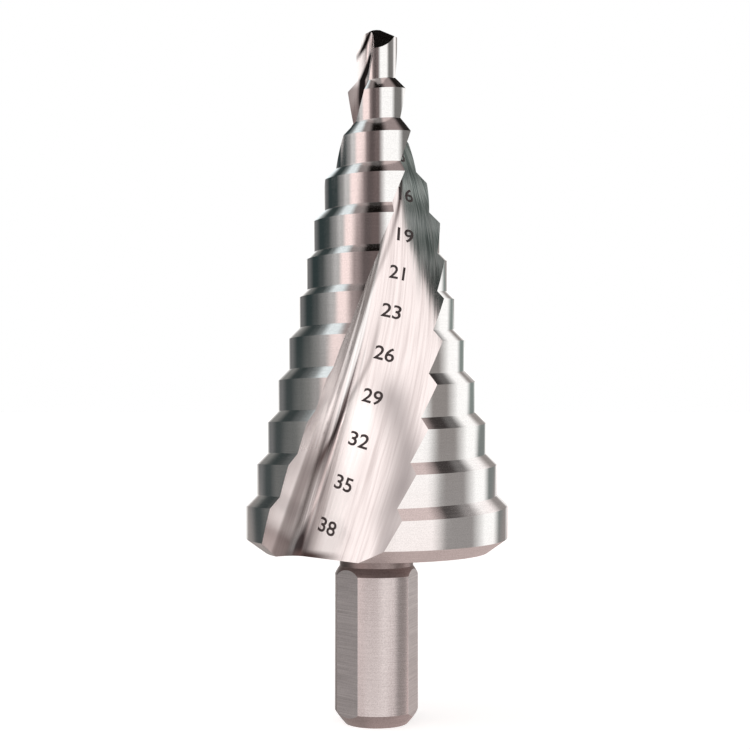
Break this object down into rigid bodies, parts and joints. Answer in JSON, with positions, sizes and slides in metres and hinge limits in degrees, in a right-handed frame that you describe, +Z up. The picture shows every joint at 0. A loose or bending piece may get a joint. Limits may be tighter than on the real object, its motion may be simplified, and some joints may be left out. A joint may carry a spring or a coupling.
{
  "type": "step drill",
  "caption": "Step drill: a stepped cone with spiral flutes, relieved lands and a split point, on a round shank with ground flats.",
  "frame": {"origin": "centre of the shank's end face, on the drill's axis", "axes": "+Z up the drill's axis from the shank to the point, -Y the front, where the marked flute shows"},
  "size_m": [0.0378, 0.0372, 0.1],
  "materials": {
    "ground_steel": "bright ground high speed steel, satin on the shank"
  },
  "bodies": {
    "root": {"step_drill": "ground_steel"}
  },
  "joints": []
}
